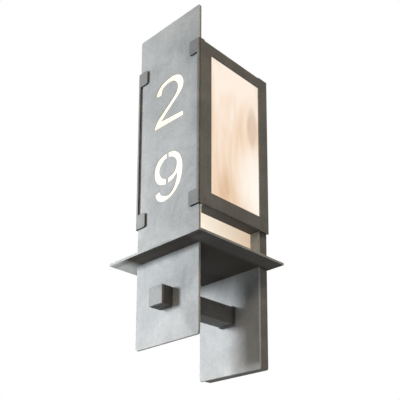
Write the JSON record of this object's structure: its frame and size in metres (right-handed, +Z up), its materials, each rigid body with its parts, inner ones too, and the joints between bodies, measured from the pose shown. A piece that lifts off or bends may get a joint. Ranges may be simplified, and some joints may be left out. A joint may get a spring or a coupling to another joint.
{
  "type": "flush mount wall sconce",
  "caption": "Upright wall light with a flat number plate, bent side frames with lit art glass, a square shelf, a square arm and a flat back plate.",
  "frame": {"origin": "middle of the mounting strap on the wall plane, between its two wall box screw holes", "axes": "+X to the right as seen by a viewer, -Y out from the wall to the viewer, +Z up"},
  "size_m": [0.185, 0.1645, 0.508],
  "materials": {
    "plate_finish": "satin pewter with a fine mottle",
    "frame_finish": "satin pewter, warm and dark",
    "dark_steel": "satin dark pewter",
    "plated_steel": "zinc plated",
    "brass_nuts": "satin",
    "brass_shell": "bright",
    "gasket_foam": "matt closed cell foam",
    "ground_green": "green ground screw",
    "bushing_plastic": "black nylon",
    "porcelain": "white glaze",
    "lamp_shell": "bright nickel",
    "lamp_housing": "white",
    "art_glass": "wispy cream and amber art glass, lit from inside",
    "opal": "opal acrylic, lit from inside",
    "lamp_glow": "opal lamp globe, lit"
  },
  "bodies": {
    "root": {"number_plate": "plate_finish", "shelf": "plate_finish", "back_plate": "plate_finish", "wall_pan": "dark_steel", "pan_rim": "dark_steel", "pan_gasket": "gasket_foam", "right_side_frame": "frame_finish", "left_side_frame": "frame_finish", "right_frame_spacer": "dark_steel", "left_frame_spacer": "dark_steel", "right_side_glass": "art_glass", "left_side_glass": "art_glass", "right_lower_diffuser": "opal", "left_lower_diffuser": "opal", "front_diffuser": "opal", "glass_clips": "plated_steel", "clip_screws": "plated_steel", "diffuser_angles": "plated_steel", "arm": "dark_steel", "arm_end_cap": "plate_finish", "arm_collar": "dark_steel", "arm_plug": "plated_steel", "arm_bolt": "plated_steel", "mounting_strap": "plated_steel", "ground_screw": "ground_green", "mounting_studs": "plated_steel", "cap_nuts": "brass_nuts", "wire_bushing": "bushing_plastic", "lamp_bracket": "plated_steel", "bracket_screws": "plated_steel", "lampholder_body": "porcelain", "holder_screws": "plated_steel", "screw_shell": "brass_shell", "centre_contact": "brass_shell"},
    "lamp_screw": {"lamp_base": "lamp_shell", "lamp_tip": "lamp_shell"},
    "lamp_bulb": {"lamp_neck": "lamp_housing", "lamp_globe": "lamp_glow"},
    "cover": {"top_cover": "frame_finish"}
  },
  "joints": [
    {"name": "lamp_travel", "type": "slide", "parent": "root", "child": "lamp_screw", "axis": [0, 0, 1], "range_m": [0, 0.0254]},
    {"name": "lamp_turn", "type": "hinge", "parent": "lamp_screw", "child": "lamp_bulb", "pos_m": [0, -0.066, 0], "axis": [0, 0, 1], "range_deg": [0, 2520]},
    {"name": "cover_lift", "type": "slide", "parent": "root", "child": "cover", "axis": [0, 0, 1], "range_m": [0, 0.08]}
  ],
  "couplings": [
    {"joint": "lamp_turn", "follows": "lamp_travel", "rad_per_m": 1731.6}
  ]
}
